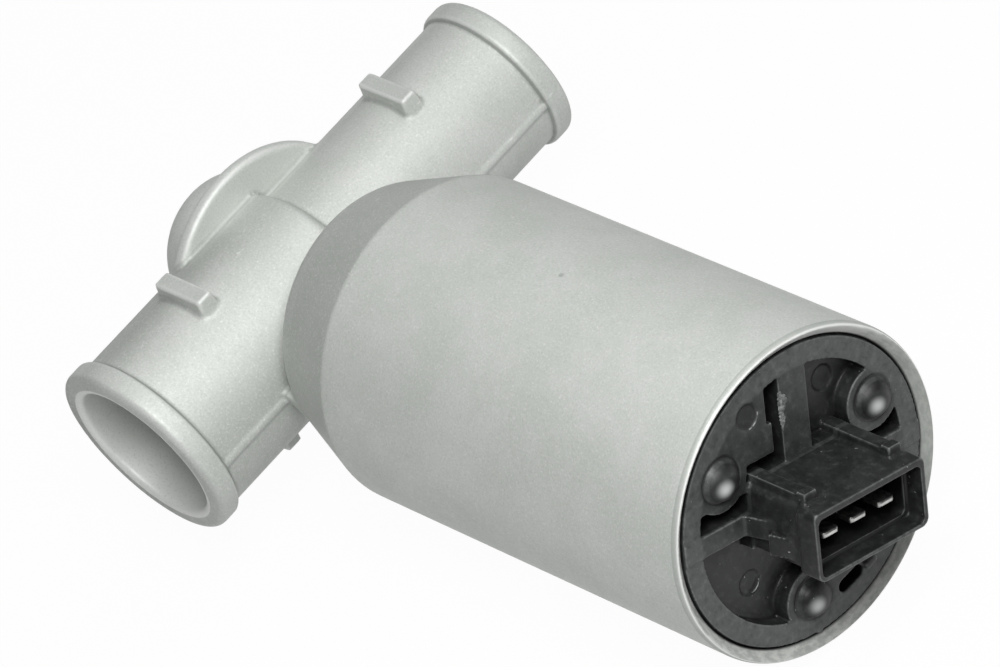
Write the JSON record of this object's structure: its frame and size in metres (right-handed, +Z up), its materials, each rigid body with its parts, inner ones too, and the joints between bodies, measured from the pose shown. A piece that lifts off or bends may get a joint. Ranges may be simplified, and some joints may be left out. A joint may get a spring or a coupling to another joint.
{
  "type": "idle air control valve",
  "caption": "Rotary idle air valve: a cast housing with two in-line hose stubs, a round motor canister and a black end cap with a socket for a plug.",
  "frame": {"origin": "crossing of the motor axis and the duct axis, inside the valve chamber", "axes": "+X along the motor axis to the connector, +Y along the duct axis to the narrow stub, +Z up when the duct and the motor lie flat"},
  "size_m": [0.133, 0.078, 0.0466],
  "materials": {
    "cast_alloy": "bead-blasted die casting",
    "black_moulding": "moulded, slightly worn edges",
    "seal_rubber": "smooth rubber",
    "tinned_contact": "tinned strip",
    "plain_steel": "bare steel",
    "ferrite": "sintered, dark grey",
    "bearing_steel": "ground steel",
    "carbon": "pressed carbon",
    "spring_bronze": "rolled strip",
    "slide_plastic": "dark brown moulding",
    "insulating_sheet": "red-brown sheet",
    "copper": "enamelled or bare copper"
  },
  "bodies": {
    "housing": {"valve_housing": "cast_alloy", "end_cap": "black_moulding", "cap_seal": "seal_rubber", "terminal_blade_left": "tinned_contact", "terminal_blade_middle": "tinned_contact", "terminal_blade_right": "tinned_contact", "flux_sleeve": "plain_steel", "magnet_upper": "ferrite", "magnet_lower": "ferrite", "magnet_springs": "plain_steel", "nose_bearing_outer": "bearing_steel", "cap_bearing_outer": "bearing_steel", "preload_washer": "plain_steel", "bearing_shield": "plain_steel", "seal_carrier": "cast_alloy", "shaft_seal": "seal_rubber", "stop_pin": "plain_steel", "brush_holder": "slide_plastic", "brush_left": "carbon", "brush_middle": "carbon", "brush_right": "carbon", "brush_spring_left": "spring_bronze", "brush_spring_middle": "spring_bronze", "brush_spring_right": "spring_bronze"},
    "rotor": {"rotor_shaft": "bearing_steel", "rotary_slide": "slide_plastic", "slide_clip": "plain_steel", "stop_sector": "plain_steel", "armature_core": "plain_steel", "end_plate_rear": "insulating_sheet", "end_plate_front": "insulating_sheet", "winding_opening": "copper", "winding_closing": "copper", "contact_hub": "slide_plastic", "contact_segments": "copper", "nose_bearing_inner": "bearing_steel", "cap_bearing_inner": "bearing_steel"},
    "nose_ball_set": {"nose_bearing_balls": "bearing_steel", "nose_bearing_cage": "black_moulding"},
    "cap_ball_set": {"cap_bearing_balls": "bearing_steel", "cap_bearing_cage": "black_moulding"}
  },
  "joints": [
    {"name": "rotor_turn", "type": "hinge", "parent": "housing", "child": "rotor", "pos_m": [0, 0, 0], "axis": [1, 0, 0], "range_deg": [-22, 38]},
    {"name": "nose_balls_turn", "type": "hinge", "parent": "housing", "child": "nose_ball_set", "pos_m": [-0.014, 0, 0], "axis": [1, 0, 0], "range_deg": [-8, 14]},
    {"name": "cap_balls_turn", "type": "hinge", "parent": "housing", "child": "cap_ball_set", "pos_m": [0.0867, 0, 0], "axis": [1, 0, 0], "range_deg": [-8, 14]}
  ],
  "couplings": [
    {"joint": "nose_balls_turn", "follows": "rotor_turn", "ratio": 0.3571},
    {"joint": "cap_balls_turn", "follows": "rotor_turn", "ratio": 0.3571}
  ]
}
